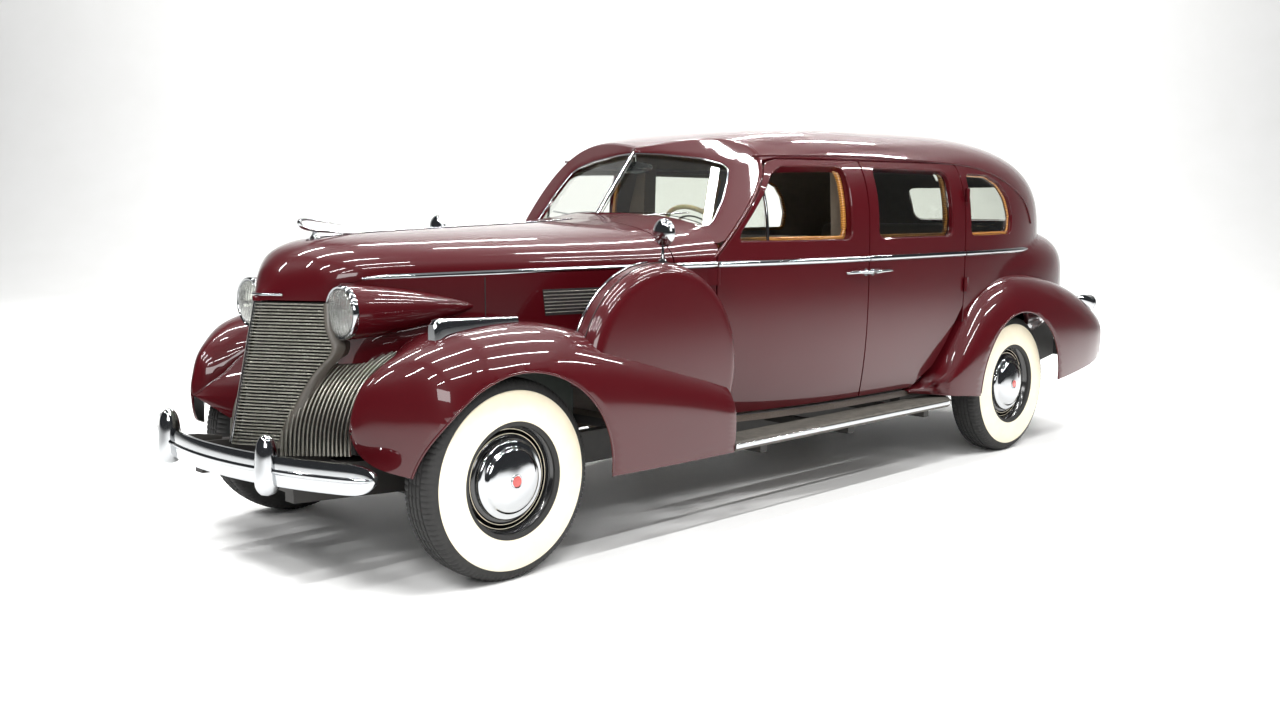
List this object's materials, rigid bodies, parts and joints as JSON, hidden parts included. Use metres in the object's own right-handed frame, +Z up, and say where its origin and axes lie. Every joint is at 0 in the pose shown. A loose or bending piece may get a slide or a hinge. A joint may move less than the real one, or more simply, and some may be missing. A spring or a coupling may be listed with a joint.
{
  "type": "seven-passenger sedan",
  "caption": "Long late-1930s sedan with hinged doors, hood and luggage lid, steered front wheels and spare wheel covers in the front fenders.",
  "frame": {"origin": "on the ground below the middle of the car's length and width", "axes": "+Z up, -Y is the way the car faces, +X is its left side"},
  "size_m": [1.9632, 5.716, 1.7821],
  "materials": {
    "burgundy_paint": "gloss",
    "window_glass": "clear",
    "chrome": "polished",
    "tyre_rubber": "matte",
    "black_enamel": "gloss",
    "board_rubber": "matte",
    "cabin_cloth": "matte",
    "grained_trim": "satin",
    "ivory_plastic": "gloss",
    "chassis_black": "satin"
  },
  "bodies": {
    "car_body": {"frame": "chassis_black", "floor": "cabin_cloth", "cowl": "burgundy_paint", "windshield": "window_glass", "roof": "burgundy_paint", "quarter_panels": "burgundy_paint", "tail_panel": "burgundy_paint", "fixed_glass": "window_glass", "pillars": "grained_trim", "hood_sides": "burgundy_paint", "radiator_grille": "chrome", "fender_grilles": "chrome", "front_fenders": "burgundy_paint", "rear_fenders": "burgundy_paint", "spare_covers": "burgundy_paint", "mirrors": "chrome", "running_boards": "board_rubber", "front_bumper": "chrome", "rear_bumper": "chrome", "headlamps": "chrome", "headlamp_lenses": "window_glass", "parking_lamps": "chrome", "tail_lamps": "chrome", "hinges": "chrome", "dashboard": "grained_trim", "front_seat": "cabin_cloth", "rear_seat": "cabin_cloth", "engine": "chassis_black", "rear_axle": "chassis_black", "exhaust": "chassis_black", "fuel_tank": "chassis_black", "front_suspension": "chassis_black"},
    "front_door_left": {"front_door_left": "burgundy_paint", "door_glass_front_left": "window_glass"},
    "front_door_right": {"front_door_right": "burgundy_paint", "door_glass_front_right": "window_glass"},
    "rear_door_left": {"rear_door_left": "burgundy_paint", "door_glass_rear_left": "window_glass"},
    "rear_door_right": {"rear_door_right": "burgundy_paint", "door_glass_rear_right": "window_glass"},
    "hood": {"hood": "burgundy_paint"},
    "trunk_lid": {"trunk_lid": "burgundy_paint"},
    "steering_wheel": {"steering_wheel": "ivory_plastic"},
    "knuckle_left": {"knuckle_left": "chassis_black"},
    "knuckle_right": {"knuckle_right": "chassis_black"},
    "wheel_front_left": {"tyre_front_left": "tyre_rubber", "wheel_front_left": "black_enamel"},
    "wheel_front_right": {"tyre_front_right": "tyre_rubber", "wheel_front_right": "black_enamel"},
    "wheel_rear_left": {"tyre_rear_left": "tyre_rubber", "wheel_rear_left": "black_enamel"},
    "wheel_rear_right": {"tyre_rear_right": "tyre_rubber", "wheel_rear_right": "black_enamel"}
  },
  "joints": [
    {"name": "front_door_left_hinge", "type": "hinge", "parent": "car_body", "child": "front_door_left", "pos_m": [0.7235, -0.785, 1], "axis": [0, 0, -1], "range_deg": [0, 65]},
    {"name": "front_door_right_hinge", "type": "hinge", "parent": "car_body", "child": "front_door_right", "pos_m": [-0.7235, -0.785, 1], "axis": [0, 0, 1], "range_deg": [0, 65]},
    {"name": "rear_door_left_hinge", "type": "hinge", "parent": "car_body", "child": "rear_door_left", "pos_m": [0.8742, 1.017, 1], "axis": [0, 0, 1], "range_deg": [0, 65]},
    {"name": "rear_door_right_hinge", "type": "hinge", "parent": "car_body", "child": "rear_door_right", "pos_m": [-0.8742, 1.017, 1], "axis": [0, 0, -1], "range_deg": [0, 65]},
    {"name": "hood_hinge", "type": "hinge", "parent": "car_body", "child": "hood", "pos_m": [0, -0.997, 1.324], "axis": [-1, 0, 0], "range_deg": [0, 42]},
    {"name": "trunk_lid_hinge", "type": "hinge", "parent": "car_body", "child": "trunk_lid", "pos_m": [0, 2.564, 1.0662], "axis": [1, 0, 0], "range_deg": [0, 65]},
    {"name": "steer_left", "type": "hinge", "parent": "car_body", "child": "knuckle_left", "pos_m": [0.69, -2.055, 0.383], "axis": [0, 0, 1], "range_deg": [-30, 30]},
    {"name": "steer_right", "type": "hinge", "parent": "car_body", "child": "knuckle_right", "pos_m": [-0.69, -2.055, 0.383], "axis": [0, 0, 1], "range_deg": [-30, 30]},
    {"name": "steering_wheel_turn", "type": "hinge", "parent": "car_body", "child": "steering_wheel", "pos_m": [0.36, -0.505, 1.205], "axis": [0, 0.8387, 0.5446], "range_deg": [-541, 541]},
    {"name": "wheel_front_left_spin", "type": "hinge", "parent": "knuckle_left", "child": "wheel_front_left", "pos_m": [0.7685, -2.055, 0.383], "axis": [1, 0, 0], "continuous": true},
    {"name": "wheel_front_right_spin", "type": "hinge", "parent": "knuckle_right", "child": "wheel_front_right", "pos_m": [-0.7685, -2.055, 0.383], "axis": [1, 0, 0], "continuous": true},
    {"name": "wheel_rear_left_spin", "type": "hinge", "parent": "car_body", "child": "wheel_rear_left", "pos_m": [0.794, 1.526, 0.383], "axis": [1, 0, 0], "continuous": true},
    {"name": "wheel_rear_right_spin", "type": "hinge", "parent": "car_body", "child": "wheel_rear_right", "pos_m": [-0.794, 1.526, 0.383], "axis": [1, 0, 0], "continuous": true}
  ],
  "couplings": [
    {"joint": "steer_right", "follows": "steer_left", "ratio": 1},
    {"joint": "steering_wheel_turn", "follows": "steer_left", "ratio": 18}
  ]
}
